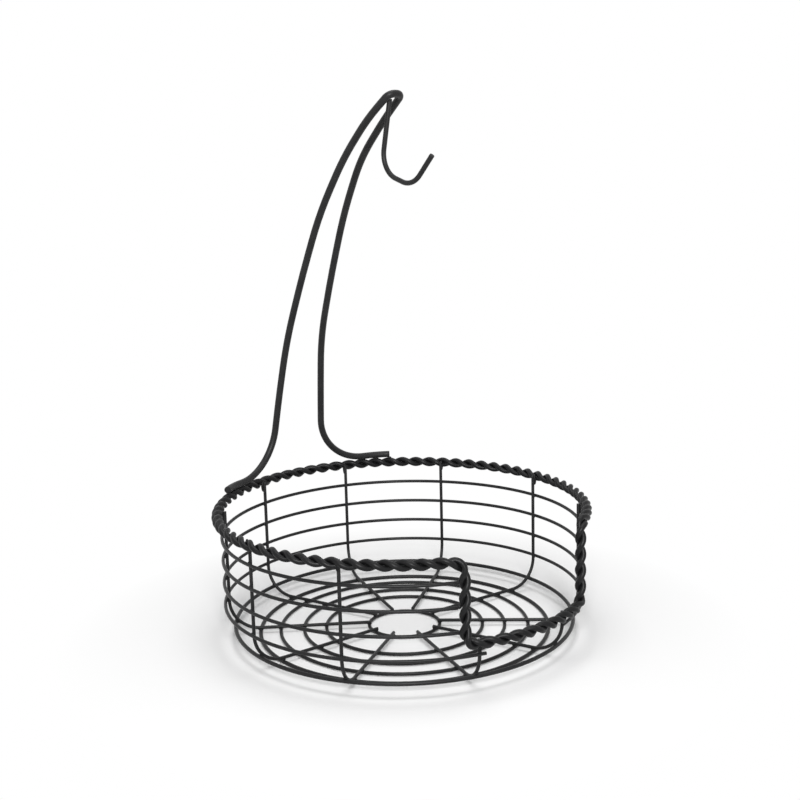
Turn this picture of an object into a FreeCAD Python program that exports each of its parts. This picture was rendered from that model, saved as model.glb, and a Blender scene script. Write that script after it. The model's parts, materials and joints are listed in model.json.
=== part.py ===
import FreeCAD, Part
import math
import os

# Wire basket with a rope-twist rim and a hairpin hanger that carries a hook.
# Millimetres, +Z up, origin on the table under the middle of the basket.
# -Y is the side where the rim steps down, +Y is the side of the hanger.
# Angles are in degrees about +Z, counted from +X.

# Wire sizes
STRAND_WIRE = 4.2
SIDE_WIRE = 2.6
BASE_WIRE = 3.0
HANGER_WIRE = 5.6
HOOK_WIRE = 3.8

# Clearance left between wires that are welded where they cross
SEAT = 0.05

# Basket: the side rings are spaced evenly from the ribs' bends up to below the rim
SIDE_RING_RADIUS = 140.0
SIDE_RING_COUNT = 4
LOWEST_RING_RISE = 0.95
TOP_RING_DROP = 16.6
RING_END_PAST_RIB = 1.5
RIB_BEND_RADIUS = 23.5
BASE_RING_ANGLE = 43.3
FLOOR_RING_RADII = (98.0, 79.5, 62.0)
CENTRE_RING_RADIUS = 28.0

# Rope rim: its centre line runs round a cylinder, and steps down in the dip.
# It leans by the tilt: that much higher at the hanger, that much lower at the dip.
# The rises set the dip's two ends over the lowest side ring.
RIM_HEIGHT = 98.9
RIM_TILT = 1.2
TWIST_PITCH = 24.4
TWIST_START = 88.0
DIP_START = 245.8
DIP_END = 296.0
DIP_START_RISE = 10.5
DIP_END_RISE = 8.5
DIP_TOP_BEND = 10.0
DIP_FLOOR_BEND = 8.0

# Ribs: their places round the basket, as bent and welded by hand
RIB_ANGLES = (-5.5, 34.0, 70.0, 106.0, 143.0, 176.4, 210.5, 250.9, 286.1, 316.0)
RIB_TOP_OVER_ROPE = 0.8

# Hanger: half of the arch, seen as (half width, Y, Z), and its bend radii
FOOT_END_ANGLE = 37.0
FOOT_BEND_ANGLE = 32.0
FOOT_BEND_RADIUS = 60.0
LEG_FOOT_RADIUS = 40.0
HAIRPIN_RADIUS = 6.3
HAIRPIN_BEND_RADIUS = 5.7
HAIRPIN_CENTRE_Y = 0.0
HAIRPIN_CENTRE_Z = 407.5
HAIRPIN_RISE = 38.5
LEG_START = (27.1, 137.8)
LEG_POINTS = (
    (22.2, 128.5, 170.0),
    (17.9, 119.4, 220.0),
    (15.3, 100.0, 270.0),
    (12.4, 75.9, 324.0),
    (8.7, 47.8, 366.6),
    (8.3, 18.8, 394.0),
)

# Hook, seen from the side as (Y, Z) from the hairpin's centre
HOOK_BEND_RADIUS = 18.6
HOOK_POINTS = ((0.0, 0.5), (11.6, -51.5), (-22.9, -63.2), (-44.5, -41.4))

# Sizes that follow from the ones above
ROPE_RADIUS = STRAND_WIRE + SEAT / 2
RIB_RADIUS = SIDE_RING_RADIUS - SIDE_WIRE - SEAT
RIM_RADIUS = RIB_RADIUS + SIDE_WIRE / 2 + SEAT + ROPE_RADIUS
SPOKE_HEIGHT = BASE_WIRE + SIDE_WIRE / 2 + SEAT
RIB_BEND_CENTRE = RIB_RADIUS - RIB_BEND_RADIUS
BEND_HEIGHT = SPOKE_HEIGHT + RIB_BEND_RADIUS
LOWEST_RING_HEIGHT = BEND_HEIGHT + LOWEST_RING_RISE
TOP_RING_HEIGHT = RIM_HEIGHT - TOP_RING_DROP
DIP_START_HEIGHT = LOWEST_RING_HEIGHT + DIP_START_RISE
DIP_END_HEIGHT = LOWEST_RING_HEIGHT + DIP_END_RISE
HOOK_ACROSS = HAIRPIN_RADIUS - HANGER_WIRE / 2 - HOOK_WIRE / 2 - SEAT
FOOT_HEIGHT = RIM_HEIGHT + RIM_TILT + ROPE_RADIUS + HANGER_WIRE / 2 + SEAT


def polar(radius, angle, height):
    """The point at a radius, an angle in degrees and a height."""
    turn = math.radians(angle)
    return FreeCAD.Vector(radius * math.cos(turn), radius * math.sin(turn), height)


def save(shape, node):
    """Write one sub-part to its STEP file."""
    shape.exportStep(os.path.join("parts", node + ".step"))


def ring(radius, height, wire, start=0.0, end=360.0):
    """A wire ring, whole or from one angle to another."""
    shape = Part.makeTorus(
        radius, wire / 2, FreeCAD.Vector(0, 0, height), FreeCAD.Vector(0, 0, 1), 0, 360, end - start
    )
    shape.rotate(FreeCAD.Vector(0, 0, 0), FreeCAD.Vector(0, 0, 1), start)
    return shape


def bent_path(points, radii):
    """Straight runs joined by tangent arcs; a radius of None takes the largest that fits."""
    edges = []
    here = points[0]
    for before, corner, after, radius in zip(points, points[1:], points[2:], radii):
        back = (before - corner).normalize()
        onward = (after - corner).normalize()
        half_turn = (math.pi - back.getAngle(onward)) / 2
        if radius is None:
            radius = 0.45 * min(corner.distanceToPoint(before), corner.distanceToPoint(after))
            radius /= math.tan(half_turn)
        reach = radius * math.tan(half_turn)
        start = corner + back * reach
        end = corner + onward * reach
        middle = corner + (back + onward).normalize() * (radius / math.cos(half_turn) - radius)
        edges.append(Part.LineSegment(here, start).toShape())
        edges.append(Part.Arc(start, middle, end).toShape())
        here = end
    edges.append(Part.LineSegment(here, points[-1]).toShape())
    return Part.Wire(edges)


def bent_wire(points, radii, wire):
    """A round wire bent along a path of straight runs and arcs."""
    path = bent_path(points, radii)
    section = Part.Circle(points[0], points[1] - points[0], wire / 2)
    return path.makePipeShell([Part.Wire([section.toShape()])], True, False)


# The rope's centre line is drawn on the unrolled cylinder, as distance round against height.
# Each corner of the dip is a quarter bend.


def rim_corners():
    """The dip's four corners on the unrolled cylinder: distance round, height, bend radius."""
    left = math.radians(DIP_START) * RIM_RADIUS
    right = math.radians(DIP_END) * RIM_RADIUS
    return [
        (left, RIM_HEIGHT, DIP_TOP_BEND),
        (left, DIP_START_HEIGHT, DIP_FLOOR_BEND),
        (right, DIP_END_HEIGHT, DIP_FLOOR_BEND),
        (right, RIM_HEIGHT, DIP_TOP_BEND),
    ]


def rim_runs():
    """The centre line as (length, start, heading, curvature) runs, from the dip's end round."""
    corners = rim_corners()
    girth = 2 * math.pi * RIM_RADIUS
    around = (corners[3][0] - girth, RIM_HEIGHT, 0)
    past = (corners[0][0] + girth, RIM_HEIGHT, 0)
    outline = [around] + corners + [past]
    here = (around[0] + DIP_TOP_BEND, RIM_HEIGHT)
    runs = []
    for before, corner, after in zip(outline, outline[1:], outline[2:]):
        heading = math.atan2(corner[1] - before[1], corner[0] - before[0])
        next_heading = math.atan2(after[1] - corner[1], after[0] - corner[0])
        turn = (next_heading - heading + math.pi) % (2 * math.pi) - math.pi
        reach = corner[2] * math.tan(abs(turn) / 2)
        start = (corner[0] - reach * math.cos(heading), corner[1] - reach * math.sin(heading))
        runs.append((math.dist(here, start), here, heading, 0.0))
        runs.append((corner[2] * abs(turn), start, heading, math.copysign(1 / corner[2], turn)))
        here = (corner[0] + reach * math.cos(next_heading), corner[1] + reach * math.sin(next_heading))
    return runs


RIM_RUNS = rim_runs()
RIM_LENGTH = sum(run[0] for run in RIM_RUNS)
TWIST_TURNS = round(RIM_LENGTH / TWIST_PITCH)


def rim_frame(distance):
    """Point, direction, outward and sideways vectors of the rope's centre line."""
    left = distance % RIM_LENGTH
    for length, start, heading, curvature in RIM_RUNS:
        if left <= length:
            break
        left -= length
    if curvature:
        angle = heading + curvature * left
        across = start[0] + (math.sin(angle) - math.sin(heading)) / curvature
        height = start[1] - (math.cos(angle) - math.cos(heading)) / curvature
    else:
        angle = heading
        across = start[0] + left * math.cos(angle)
        height = start[1] + left * math.sin(angle)
    turn = math.degrees(across / RIM_RADIUS)
    outward = polar(1.0, turn, 0.0)
    direction = polar(math.cos(angle), turn + 90.0, math.sin(angle))
    height += RIM_TILT * outward.y
    return polar(RIM_RADIUS, turn, height), outward, direction.cross(outward)


def strand_centre(distance, phase):
    """A point on one strand's centre line, and the direction away from the rope's middle."""
    point, outward, sideways = rim_frame(distance)
    twist = math.radians(phase) + 2 * math.pi * TWIST_TURNS * distance / RIM_LENGTH
    away = outward * math.cos(twist) + sideways * math.sin(twist)
    return point + away * (STRAND_WIRE / 2 + SEAT / 2), away


def strand_section(distance, phase, points_round):
    """Points round the strand's section, square to the strand."""
    step = 0.001
    centre, away = strand_centre(distance, phase)
    ahead, _ = strand_centre(distance + step, phase)
    behind, _ = strand_centre(distance - step, phase)
    along = (ahead - behind).normalize()
    first = (away - along * away.dot(along)).normalize()
    second = along.cross(first)
    angles = [2 * math.pi * k / points_round for k in range(points_round + 1)]
    return [centre + (first * math.cos(a) + second * math.sin(a)) * (STRAND_WIRE / 2) for a in angles]


def rim_strand(phase):
    """One strand of the rope rim, closed on itself after a whole number of turns."""
    stretches = 24
    sections_per_turn = 10
    points_round = 20
    sections = math.ceil(TWIST_TURNS * sections_per_turn / stretches)
    faces = []
    for stretch in range(stretches):
        distances = [RIM_LENGTH * (stretch + k / sections) / stretches for k in range(sections + 1)]
        skin = Part.BSplineSurface()
        skin.interpolate([strand_section(distance, phase, points_round) for distance in distances])
        faces.append(skin.toShape())
    shell = Part.Shell(faces)
    return Part.Solid(shell)


def side_rings():
    """The rings round the side: all but the lowest stop at the dip's upright ropes."""
    clear = math.degrees((ROPE_RADIUS + SEAT) / SIDE_RING_RADIUS)
    spans = [(DIP_END + clear, DIP_START + 360 - clear)] * (SIDE_RING_COUNT - 1)
    spans.append((RIB_ANGLES[8] - RING_END_PAST_RIB, RIB_ANGLES[7] + 360 + RING_END_PAST_RIB))
    spacing = (TOP_RING_HEIGHT - LOWEST_RING_HEIGHT) / (SIDE_RING_COUNT - 1)
    for number, (start, end) in enumerate(spans, 1):
        height = TOP_RING_HEIGHT - spacing * (number - 1)
        save(ring(SIDE_RING_RADIUS, height, SIDE_WIRE, start, end), f"side_ring_{number}")


def base_rings():
    """The heavy ring outside the ribs' bends and the foot ring that stands on the table."""
    out = RIB_BEND_RADIUS + SIDE_WIRE / 2 + BASE_WIRE / 2 + SEAT
    slope = math.radians(BASE_RING_ANGLE)
    radius = RIB_BEND_CENTRE + out * math.cos(slope)
    save(ring(radius, BEND_HEIGHT - out * math.sin(slope), BASE_WIRE), "base_ring")
    save(ring(RIB_BEND_CENTRE, BASE_WIRE / 2, BASE_WIRE), "foot_ring")


def floor_rings():
    """The thin rings welded under the floor spokes."""
    height = SPOKE_HEIGHT - SIDE_WIRE - SEAT
    for number, radius in enumerate(FLOOR_RING_RADII, 1):
        save(ring(radius, height, SIDE_WIRE), f"floor_ring_{number}")
    save(ring(CENTRE_RING_RADIUS, height, SIDE_WIRE), "centre_ring")


def rim_height_over(angle):
    """Height of the rope's centre line above a place on the side."""
    lean = RIM_TILT * math.sin(math.radians(angle))
    if not DIP_START < angle < DIP_END:
        return RIM_HEIGHT + lean
    part_way = (angle - DIP_START) / (DIP_END - DIP_START)
    return DIP_START_HEIGHT + part_way * (DIP_END_HEIGHT - DIP_START_HEIGHT) + lean


def rib(angle):
    """One wire: a side rib up the rope's inner side, a bend, and a floor spoke to the centre ring."""
    points = [
        polar(RIB_RADIUS, angle, rim_height_over(angle) + RIB_TOP_OVER_ROPE),
        polar(RIB_RADIUS, angle, SPOKE_HEIGHT),
        polar(CENTRE_RING_RADIUS - SIDE_WIRE / 2, angle, SPOKE_HEIGHT),
    ]
    return bent_wire(points, [RIB_BEND_RADIUS], SIDE_WIRE)


def ribs():
    for number, angle in enumerate(RIB_ANGLES, 1):
        save(rib(angle), f"rib_{number:02d}")


def hanger_arch():
    """The heavy wire: two feet along the rope, two legs, and a tight hairpin at the top."""
    rise = math.radians(HAIRPIN_RISE)
    foot_outset = math.cos(math.radians(FOOT_END_ANGLE - FOOT_BEND_ANGLE))
    half = [
        polar(RIM_RADIUS, 90 - FOOT_END_ANGLE, FOOT_HEIGHT),
        polar(RIM_RADIUS / foot_outset, 90 - FOOT_BEND_ANGLE, FOOT_HEIGHT),
        FreeCAD.Vector(LEG_START[0], LEG_START[1], FOOT_HEIGHT),
    ]
    half += [FreeCAD.Vector(*point) for point in LEG_POINTS]
    half.append(
        FreeCAD.Vector(
            HAIRPIN_RADIUS,
            HAIRPIN_CENTRE_Y - HAIRPIN_RADIUS * math.cos(rise),
            HAIRPIN_CENTRE_Z + HAIRPIN_RADIUS * math.sin(rise),
        )
    )
    mirrored = [FreeCAD.Vector(-point.x, point.y, point.z) for point in reversed(half)]
    radii = [FOOT_BEND_RADIUS, LEG_FOOT_RADIUS] + [None] * len(LEG_POINTS) + [HAIRPIN_BEND_RADIUS]
    return bent_wire(half + mirrored, radii + radii[::-1], HANGER_WIRE)


def hanging_hook():
    """The thinner hook, welded inside the hairpin's left leg, that turns up at its tip."""
    points = [
        FreeCAD.Vector(-HOOK_ACROSS, HAIRPIN_CENTRE_Y + y, HAIRPIN_CENTRE_Z + z) for y, z in HOOK_POINTS
    ]
    return bent_wire(points, [HOOK_BEND_RADIUS] * 2, HOOK_WIRE)


def main():
    os.makedirs("parts", exist_ok=True)
    save(rim_strand(TWIST_START), "rim_strand_a")
    save(rim_strand(TWIST_START + 180), "rim_strand_b")
    side_rings()
    base_rings()
    floor_rings()
    ribs()
    save(hanger_arch(), "hanger_arch")
    save(hanging_hook(), "hanging_hook")


main()
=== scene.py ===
import json
import math

import bmesh
import bpy
from mathutils import Matrix, Vector, noise
from mathutils.bvhtree import BVHTree


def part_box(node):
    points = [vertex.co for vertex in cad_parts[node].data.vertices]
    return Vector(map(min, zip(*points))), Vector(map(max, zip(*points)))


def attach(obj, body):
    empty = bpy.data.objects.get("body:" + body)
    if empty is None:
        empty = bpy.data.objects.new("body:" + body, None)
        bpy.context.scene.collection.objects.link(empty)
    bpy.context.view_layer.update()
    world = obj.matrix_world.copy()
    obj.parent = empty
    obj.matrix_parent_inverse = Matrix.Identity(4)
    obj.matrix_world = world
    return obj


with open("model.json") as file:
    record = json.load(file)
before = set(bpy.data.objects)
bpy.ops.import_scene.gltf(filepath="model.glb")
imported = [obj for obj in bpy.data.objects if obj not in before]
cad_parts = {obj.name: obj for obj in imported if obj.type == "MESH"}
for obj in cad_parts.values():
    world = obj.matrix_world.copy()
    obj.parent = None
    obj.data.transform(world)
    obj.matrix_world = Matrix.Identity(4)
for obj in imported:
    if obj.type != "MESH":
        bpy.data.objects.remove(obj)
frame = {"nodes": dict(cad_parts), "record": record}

# Coated wire basket with a rope-twist rim, a hairpin hanger and a hook.
# Metres, +Z up. The rim steps down at -Y, and the hanger stands at +Y.

MM = 0.001
UP = Vector((0.0, 0.0, 1.0))

# Camera: where it stands, its heading from +X towards +Y, its downward pitch and its roll
CAMERA_PLACE = Vector((-0.5886, -0.6784, 0.3514))
CAMERA_HEADING = 49.0
CAMERA_PITCH = 10.62
CAMERA_ROLL = -1.44
CAMERA_SENSOR = 36.0
CAMERA_LENS = 53.46
CAMERA_NEAREST = 0.01

# Floor: half its side, its paint, and how far out it passes from shaded to plain white
FLOOR_HALF = 6.0
FLOOR_PAINT = (0.93, 0.93, 0.93, 1.0)
FLOOR_ROUGHNESS = 0.9
SHADOW_REACH = (0.15, 0.27)

# World: its light from the sides and from above, and what the eye sees of it
SIDE_LIGHT = 0.05
TOP_LIGHT = 0.4
SEEN_LIGHT = 1.0
WHITE = (1.0, 1.0, 1.0, 1.0)

# Lamps: the point that they look at, and each one's place, side and power in watts
LAMP_AIM = (0.0, 0.0, 0.12)
LAMPS = {
    "key": ((-0.95, -1.15, 0.85), 0.5, 24),
    "top": ((0.05, 0.05, 1.7), 1.1, 11),
}

# Powder coat. A noise scale is in waves per metre, and a spread is the noise from low to high.
COAT_IOR = 1.45
COAT_SPECULAR = 0.22
COAT_ROUGHNESS = (0.37, 0.43)
PATCH_SCALE = 90
PATCH_DETAIL = 3
PATCH_COLOUR_SPREAD = (0.32, 0.68)
PATCH_ROUGHNESS_SPREAD = (0.3, 0.7)
PEEL_SCALE = 620
PEEL_DETAIL = 2
PEEL_DEPTH = 0.06 * MM
GRAIN_SCALE = 2600
GRAIN_DETAIL = 2
GRAIN_DEPTH = 0.008 * MM
GRAIN_STRENGTH = 0.5
SPECK_SCALE = 1500
SPECK_DETAIL = 1
SPECK_SPREAD = (0.74, 0.8)
SPECK_STRENGTH = 0.5
SPECK_COLOUR = (0.11, 0.108, 0.105, 1.0)

# Each material slot's coat: its name, its darkest and lightest colour, and its orange peel
COATS = {
    # The rope's copy of the one powder coat is painted darker than the other wires' coat: painted
    # shade on the twisted rope.
    "rope_rim": ("rope_coat_painted_shade", (0.005, 0.005, 0.0055, 1), (0.008, 0.008, 0.0085, 1), 0.5),
    "thin_wire": ("thin_wire_coat", (0.01, 0.01, 0.0105, 1), (0.015, 0.015, 0.0155, 1), 0.35),
    "heavy_wire": ("heavy_wire_coat", (0.01, 0.01, 0.0105, 1), (0.015, 0.015, 0.0155, 1), 0.45),
    # The hanger's copy of the one powder coat is painted lighter than the other wires' coat:
    # painted light on the hanger.
    "hanger_wire": ("hanger_coat_painted_light", (0.012, 0.012, 0.0125, 1), (0.018, 0.018, 0.0185, 1), 0.4),
}

# Wire skins: how near two mesh points are joined, and how sharp an edge is rounded as a cut end
JOIN_DISTANCE = 0.002 * MM
END_ANGLE = 50.0
END_ROUNDING = 0.35 * MM
END_SEGMENTS = 3

# Weld beads: half their length, half their width, and half their thickness between the wires
THIN_BEAD = (1.75 * MM, 1.4 * MM, 0.75 * MM)
HEAVY_BEAD = (2.1 * MM, 1.7 * MM, 0.9 * MM)
ROPE_BEAD = (4.7 * MM, 1.8 * MM, 1.5 * MM)
FOOT_BEAD = (1.7 * MM, 1.35 * MM, 0.8 * MM)
HOOK_BEAD = (2.4 * MM, 1.9 * MM, 0.9 * MM)
RING_END_BEAD = (1.5 * MM, 1.2 * MM, 1.1 * MM)

# Unevenness of a bead: its share of the size, its waves over the bead, and its change with place
BEAD_UNEVENNESS = 0.09
BEAD_WAVES = 1.7
BEAD_VARIETY = 900
BEAD_SUBDIVISIONS = 3

# Puddles at the ribs' tops: how far out from the rib's side, and how far below its end
ROPE_SEAM = 0.5 * MM
ROPE_SEAM_DROP = 3.4 * MM

# Beads under the hanger's feet: how close the rope comes there, and their spacing
FOOT_REACH = 0.6 * MM
FOOT_SPACING = 7 * MM

# Hook's bead: how much of the hook's top end it may join, and how far it has run down
HOOK_END = 6 * MM
HOOK_RUN = 1 * MM

# Beads at the rings' cut ends: the part of the ring's radius past which lies the dip's side,
# and the share of the gap to the rope that half a bead covers
DIP_SIDE = 0.7
RING_END_COVER = 0.6

# Coat that fills the seam between the strands: its radius, how close they come there, its spacing
SEAM_RADIUS = 0.4 * MM
SEAM_RESOLUTION = 2
SEAM_REACH = 0.16 * MM
SEAM_SPACING = 2.5 * MM

nodes = frame["nodes"]
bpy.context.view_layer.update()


def noise_node(tree, scale, detail, coordinates):
    """A noise texture over the object's own coordinates."""
    texture = tree.nodes.new("ShaderNodeTexNoise")
    texture.inputs["Scale"].default_value = scale
    texture.inputs["Detail"].default_value = detail
    tree.links.new(coordinates, texture.inputs["Vector"])
    return texture.outputs["Fac"]


def remap(tree, value, spread, to_low, to_high):
    """The value stretched from its spread to another range."""
    node = tree.nodes.new("ShaderNodeMapRange")
    node.inputs["From Min"].default_value = spread[0]
    node.inputs["From Max"].default_value = spread[1]
    node.inputs["To Min"].default_value = to_low
    node.inputs["To Max"].default_value = to_high
    tree.links.new(value, node.inputs["Value"])
    return node.outputs["Result"]


def bump(tree, height, distance, strength, normal=None):
    """A bump from a height value, on top of another bump where one is given."""
    node = tree.nodes.new("ShaderNodeBump")
    node.inputs["Distance"].default_value = distance
    node.inputs["Strength"].default_value = strength
    tree.links.new(height, node.inputs["Height"])
    if normal:
        tree.links.new(normal, node.inputs["Normal"])
    return node.outputs["Normal"]


def powder_coat(name, dark, light, peel):
    """Satin black powder coat: orange peel, fine grain, patches of sheen and sparse pale specks."""
    material = bpy.data.materials.new(name)
    material.use_nodes = True
    tree = material.node_tree
    shader = tree.nodes["Principled BSDF"]
    shader.inputs["IOR"].default_value = COAT_IOR
    shader.inputs["Specular IOR Level"].default_value = COAT_SPECULAR
    place = tree.nodes.new("ShaderNodeTexCoord").outputs["Object"]
    patches = noise_node(tree, PATCH_SCALE, PATCH_DETAIL, place)
    grain = noise_node(tree, GRAIN_SCALE, GRAIN_DETAIL, place)
    orange_peel = noise_node(tree, PEEL_SCALE, PEEL_DETAIL, place)
    speckle = noise_node(tree, SPECK_SCALE, SPECK_DETAIL, place)

    tone = tree.nodes.new("ShaderNodeValToRGB")
    for stop, position, colour in zip(tone.color_ramp.elements, PATCH_COLOUR_SPREAD, (dark, light)):
        stop.position = position
        stop.color = colour
    tree.links.new(patches, tone.inputs["Fac"])

    speck_mix = tree.nodes.new("ShaderNodeMix")
    speck_mix.data_type = "RGBA"
    speck_mix.inputs["B"].default_value = SPECK_COLOUR
    specks = remap(tree, speckle, SPECK_SPREAD, 0.0, SPECK_STRENGTH)
    tree.links.new(specks, speck_mix.inputs["Factor"])
    tree.links.new(tone.outputs["Color"], speck_mix.inputs["A"])
    tree.links.new(speck_mix.outputs["Result"], shader.inputs["Base Color"])

    roughness = remap(tree, patches, PATCH_ROUGHNESS_SPREAD, *COAT_ROUGHNESS)
    tree.links.new(roughness, shader.inputs["Roughness"])
    coarse = bump(tree, orange_peel, PEEL_DEPTH, peel)
    fine = bump(tree, grain, GRAIN_DEPTH, GRAIN_STRENGTH, coarse)
    tree.links.new(fine, shader.inputs["Normal"])
    return material


MATERIALS = {slot: powder_coat(*coat) for slot, coat in COATS.items()}
NODE_SLOTS = {part["node"]: part["material_slot"] for part in frame["record"]["subparts"]}


def dress_nodes():
    """Gives each CAD wire its coat, smooth shading and softly rounded cut ends."""
    for name, wire in nodes.items():
        wire.data.materials.clear()
        wire.data.materials.append(MATERIALS[NODE_SLOTS[name]])
        wire.data.shade_smooth()
        wire.data.normals_split_custom_set([(0.0, 0.0, 0.0)] * len(wire.data.loops))
        joining = wire.modifiers.new("joined_skin", "WELD")
        joining.merge_threshold = JOIN_DISTANCE
        rounding = wire.modifiers.new("rounded_ends", "BEVEL")
        rounding.limit_method = "ANGLE"
        rounding.angle_limit = math.radians(END_ANGLE)
        rounding.width = END_ROUNDING
        rounding.segments = END_SEGMENTS


def ring_facts(name):
    """A ring's radius, the height of its centre line and half its wire, from its CAD node."""
    low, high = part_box(name)
    half_wire = (high.z - low.z) / 2
    return (high.y - half_wire, (high.z + low.z) / 2, half_wire)


def rib_angle(name):
    """A rib's direction about +Z, from the outer corner of its CAD node's box."""
    low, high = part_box(name)
    half_wire = ring_facts("side_ring_1")[2]
    far_x = low.x + half_wire if abs(low.x) > abs(high.x) else high.x - half_wire
    far_y = low.y + half_wire if abs(low.y) > abs(high.y) else high.y - half_wire
    return math.atan2(far_y, far_x)


RIBS = {name: rib_angle(name) for name in sorted(nodes) if name.startswith("rib_")}
SIDE_RINGS = sorted(name for name in nodes if name.startswith("side_ring_"))
FLOOR_RINGS = sorted(name for name in nodes if name.startswith("floor_ring_"))
STRANDS = ("rim_strand_a", "rim_strand_b")


def around(radius, angle, height):
    """The point at a radius and angle about +Z, at a height."""
    return Vector((radius * math.cos(angle), radius * math.sin(angle), height))


def skin(name):
    """A search tree over a CAD node's surface."""
    mesh = nodes[name].data
    corners = [vertex.co.copy() for vertex in mesh.vertices]
    return BVHTree.FromPolygons(corners, [tuple(face.vertices) for face in mesh.polygons])


def add_piece(name, mesh, slot):
    """Puts a mesh on the basket, in the coat of the wires that it belongs to."""
    mesh.materials.clear()
    mesh.materials.append(MATERIALS[slot])
    mesh.shade_smooth()
    piece = bpy.data.objects.new(name, mesh)
    bpy.context.scene.collection.objects.link(piece)
    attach(piece, "root")


def add_beads(name, beads, slot):
    """One piece of small uneven puddles. Each bead is (place, thin axis, long axis, half sizes)."""
    build = bmesh.new()
    for place, thin, along, (length, width, thickness) in beads:
        thin = thin.normalized()
        along = (along - thin * along.dot(thin)).normalized()
        turn = Matrix((along, thin.cross(along), thin)).transposed()
        ball = bmesh.ops.create_icosphere(build, subdivisions=BEAD_SUBDIVISIONS, radius=1.0)
        for point in ball["verts"]:
            wave = noise.noise(point.co * BEAD_WAVES + place * BEAD_VARIETY)
            shaped = Vector((point.co.x * length, point.co.y * width, point.co.z * thickness))
            point.co = place + turn @ (shaped * (1.0 + BEAD_UNEVENNESS * wave))
    mesh = bpy.data.meshes.new(name)
    build.to_mesh(mesh)
    build.free()
    add_piece(name, mesh, slot)


def side_welds():
    """Beads where the side rings cross the outside of the ribs."""
    beads = []
    for ring in SIDE_RINGS:
        radius, height, half_wire = ring_facts(ring)
        for rib, angle in RIBS.items():
            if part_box(rib)[1].z > height + half_wire:
                place = around(radius - half_wire, angle, height)
                beads.append((place, around(1.0, angle, 0.0), UP, THIN_BEAD))
    return beads


def floor_welds():
    """Beads where the spokes lie on the floor rings, the centre ring and the foot ring."""
    beads = []
    for ring in FLOOR_RINGS + ["centre_ring", "foot_ring"]:
        radius, height, half_wire = ring_facts(ring)
        size = HEAVY_BEAD if ring == "foot_ring" else THIN_BEAD
        for angle in RIBS.values():
            place = around(radius, angle, height + half_wire)
            beads.append((place, UP, around(1.0, angle, 0.0), size))
    return beads


def base_welds():
    """Beads where the base ring lies against the outside of the ribs' bends."""
    radius, height, half_wire = ring_facts("base_ring")
    # Each bend is centred straight above the foot ring.
    foot_radius, _, foot_half_wire = ring_facts("foot_ring")
    side_radius, _, thin_half_wire = ring_facts("side_ring_1")
    spoke_height = 2 * foot_half_wire + thin_half_wire
    rib_radius = side_radius - 2 * thin_half_wire
    bend_height = spoke_height + rib_radius - foot_radius
    across = Vector((radius - foot_radius, height - bend_height)).normalized()
    beads = []
    for angle in RIBS.values():
        outward = around(across.x, angle, across.y)
        place = around(radius, angle, height) - outward * half_wire
        beads.append((place, outward, around(across.y, angle, -across.x), HEAVY_BEAD))
    return beads


def rope_welds():
    """Puddles that fill the slit between each rib's top and the rope."""
    radius, _, half_wire = ring_facts("side_ring_1")
    beads = []
    for rib, angle in RIBS.items():
        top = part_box(rib)[1].z
        place = around(radius - half_wire + ROPE_SEAM, angle, top - ROPE_SEAM_DROP)
        beads.append((place, around(1.0, angle, 0.0), UP, ROPE_BEAD))
    return beads


def foot_welds():
    """Beads along the hanger's feet, at each bump of the rope that carries them."""
    feet = skin("hanger_arch")
    near = []
    for strand in STRANDS:
        for vertex in nodes[strand].data.vertices:
            found, _, _, gap = feet.find_nearest(vertex.co, FOOT_REACH)
            if found:
                near.append((gap, (vertex.co + found) / 2))
    near.sort(key=lambda entry: entry[0])
    places = []
    for _, place in near:
        if all((place - other).length > FOOT_SPACING for other in places):
            places.append(place)
    beads = []
    for place in places:
        outward = Vector((place.x, place.y, 0.0)).normalized()
        beads.append((place, UP, UP.cross(outward), FOOT_BEAD))
    return beads


def hook_weld():
    """The bead that holds the hook's top end against the hairpin's left leg."""
    hairpin = skin("hanger_arch")
    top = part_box("hanging_hook")[1].z
    near = []
    for vertex in nodes["hanging_hook"].data.vertices:
        if vertex.co.z >= top - HOOK_END:
            found, _, _, gap = hairpin.find_nearest(vertex.co)
            near.append((gap, (vertex.co + found) / 2))
    place = min(near, key=lambda entry: entry[0])[1]
    return [(place - UP * HOOK_RUN, Vector((1.0, 0.0, 0.0)), UP, HOOK_BEAD)]


def ring_end_welds():
    """Beads where the cut ends of all side rings but the lowest meet the dip's upright ropes."""
    strands = [skin(strand) for strand in STRANDS]
    length, width, least_thickness = RING_END_BEAD
    beads = []
    for ring in SIDE_RINGS[:-1]:
        radius, height, _ = ring_facts(ring)
        points = [vertex.co.copy() for vertex in nodes[ring].data.vertices]
        front = [point for point in points if point.y < -radius * DIP_SIDE]
        left = max((point for point in front if point.x < 0), key=lambda point: point.x)
        right = min((point for point in front if point.x > 0), key=lambda point: point.x)
        for end in (left, right):
            middle = around(radius, math.atan2(end.y, end.x), height)
            hits = [strand.find_nearest(middle) for strand in strands]
            found, _, _, gap = min(hits, key=lambda hit: hit[3])
            size = (length, width, max(least_thickness, gap * RING_END_COVER))
            beads.append(((middle + found) / 2, found - middle, UP, size))
    return beads


def rope_middle():
    """Places along the rope's middle, where its strands lie closest, in order round the rim."""
    first, second = STRANDS
    other = skin(second)
    places = []
    for vertex in nodes[first].data.vertices:
        found, _, _, _ = other.find_nearest(vertex.co, SEAM_REACH)
        if found:
            places.append((vertex.co + found) / 2)
    ordered = []
    start = places[0]
    while places:
        near = [place for place in places if (place - start).length <= SEAM_SPACING]
        ordered.append(sum(near, Vector()) / len(near))
        places = [place for place in places if (place - start).length > SEAM_SPACING]
        if places:
            start = min(places, key=lambda place: (place - ordered[-1]).length)
    return ordered


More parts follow.
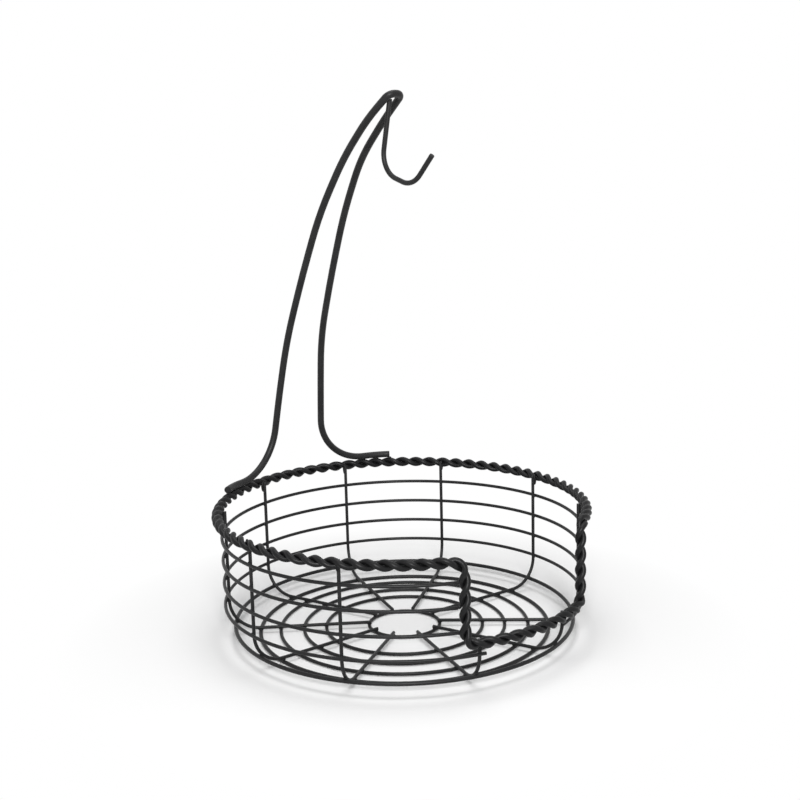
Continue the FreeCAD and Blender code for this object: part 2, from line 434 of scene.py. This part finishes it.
def add_seam_coat():
    """A thin closed line of coat between the two strands of the rope."""
    curve = bpy.data.curves.new("seam_line", "CURVE")
    curve.dimensions = "3D"
    curve.bevel_depth = SEAM_RADIUS
    curve.bevel_resolution = SEAM_RESOLUTION
    places = rope_middle()
    line = curve.splines.new("POLY")
    line.points.add(len(places) - 1)
    for point, place in zip(line.points, places):
        point.co = (*place, 1.0)
    line.use_cyclic_u = True
    path = bpy.data.objects.new("seam_line", curve)
    mesh = bpy.data.meshes.new_from_object(path)
    bpy.data.objects.remove(path)
    add_piece("rope_seam_coat", mesh, "rope_rim")


def add_welds():
    """All weld beads, one piece for each kind of joint."""
    add_beads("side_welds", side_welds(), "thin_wire")
    add_beads("floor_welds", floor_welds(), "thin_wire")
    add_beads("base_welds", base_welds(), "heavy_wire")
    add_beads("rope_welds", rope_welds(), "rope_rim")
    add_beads("foot_welds", foot_welds(), "hanger_wire")
    add_beads("hook_weld", hook_weld(), "hanger_wire")
    add_beads("ring_end_welds", ring_end_welds(), "thin_wire")


def combine(tree, operation, first, second):
    """Two values put together by a math operation."""
    node = tree.nodes.new("ShaderNodeMath")
    node.operation = operation
    tree.links.new(first, node.inputs[0])
    tree.links.new(second, node.inputs[1])
    return node.outputs[0]


def seen_rays(tree):
    """One for rays from the camera, a reflection or glass, and nothing for the rest."""
    rays = tree.nodes.new("ShaderNodeLightPath").outputs
    direct = combine(tree, "MAXIMUM", rays["Is Camera Ray"], rays["Is Transmission Ray"])
    return combine(tree, "MAXIMUM", direct, rays["Is Glossy Ray"])


def floor_material():
    """A pale matte floor that keeps the shadow near the object and looks white further out."""
    material = bpy.data.materials.new("pale_floor")
    material.use_nodes = True
    tree = material.node_tree
    shader = tree.nodes["Principled BSDF"]
    shader.inputs["Base Color"].default_value = FLOOR_PAINT
    shader.inputs["Roughness"].default_value = FLOOR_ROUGHNESS
    shader.inputs["Specular IOR Level"].default_value = 0.0
    white = tree.nodes.new("ShaderNodeEmission")
    far = tree.nodes.new("ShaderNodeVectorMath")
    far.operation = "LENGTH"
    tree.links.new(tree.nodes.new("ShaderNodeTexCoord").outputs["Object"], far.inputs[0])
    share = remap(tree, far.outputs["Value"], SHADOW_REACH, 0.0, 1.0)
    mix = tree.nodes.new("ShaderNodeMixShader")
    tree.links.new(combine(tree, "MULTIPLY", share, seen_rays(tree)), mix.inputs["Fac"])
    tree.links.new(shader.outputs["BSDF"], mix.inputs[1])
    tree.links.new(white.outputs["Emission"], mix.inputs[2])
    tree.links.new(mix.outputs["Shader"], tree.nodes["Material Output"].inputs["Surface"])
    return material


def add_floor():
    """A wide square floor at the height that the basket stands on."""
    half = FLOOR_HALF
    corners = [(-half, -half, 0), (half, -half, 0), (half, half, 0), (-half, half, 0)]
    mesh = bpy.data.meshes.new("floor")
    mesh.from_pydata(corners, [], [(0, 1, 2, 3)])
    floor = bpy.data.objects.new("floor", mesh)
    floor.data.materials.append(floor_material())
    bpy.context.scene.collection.objects.link(floor)


def add_world():
    """Soft light that is strongest from above, and plain white where it is seen itself."""
    world = bpy.data.worlds.new("studio")
    world.use_nodes = True
    bpy.context.scene.world = world
    tree = world.node_tree
    background = tree.nodes["Background"]
    background.inputs["Color"].default_value = WHITE
    split = tree.nodes.new("ShaderNodeSeparateXYZ")
    tree.links.new(tree.nodes.new("ShaderNodeTexCoord").outputs["Generated"], split.inputs[0])
    studio = remap(tree, split.outputs["Z"], (0.0, 1.0), SIDE_LIGHT, TOP_LIGHT)
    strength = tree.nodes.new("ShaderNodeMix")
    strength.inputs["B"].default_value = SEEN_LIGHT
    tree.links.new(seen_rays(tree), strength.inputs["Factor"])
    tree.links.new(studio, strength.inputs["A"])
    tree.links.new(strength.outputs["Result"], background.inputs["Strength"])


def add_lamps():
    """Square area lamps that look at the basket's middle."""
    for name, (place, side, power) in LAMPS.items():
        lamp = bpy.data.lights.new(name, "AREA")
        lamp.size = side
        lamp.energy = power
        light = bpy.data.objects.new(name, lamp)
        light.location = place
        view = Vector(LAMP_AIM) - Vector(place)
        light.rotation_euler = view.to_track_quat("-Z", "Y").to_euler()
        bpy.context.scene.collection.objects.link(light)


def add_camera():
    """The camera at the photograph's place and angle."""
    camera = bpy.data.cameras.new("camera")
    camera.sensor_width = CAMERA_SENSOR
    camera.lens = CAMERA_LENS
    camera.clip_start = CAMERA_NEAREST
    eye = bpy.data.objects.new("camera", camera)
    turn = Matrix.Rotation(math.radians(CAMERA_HEADING - 90), 4, "Z")
    turn = turn @ Matrix.Rotation(math.radians(90 - CAMERA_PITCH), 4, "X")
    turn = turn @ Matrix.Rotation(math.radians(CAMERA_ROLL), 4, "Z")
    eye.matrix_world = Matrix.Translation(CAMERA_PLACE) @ turn
    bpy.context.scene.collection.objects.link(eye)
    bpy.context.scene.camera = eye


dress_nodes()
add_welds()
add_seam_coat()
add_floor()
add_world()
add_lamps()
add_camera()
bpy.context.scene.view_settings.view_transform = "Standard"
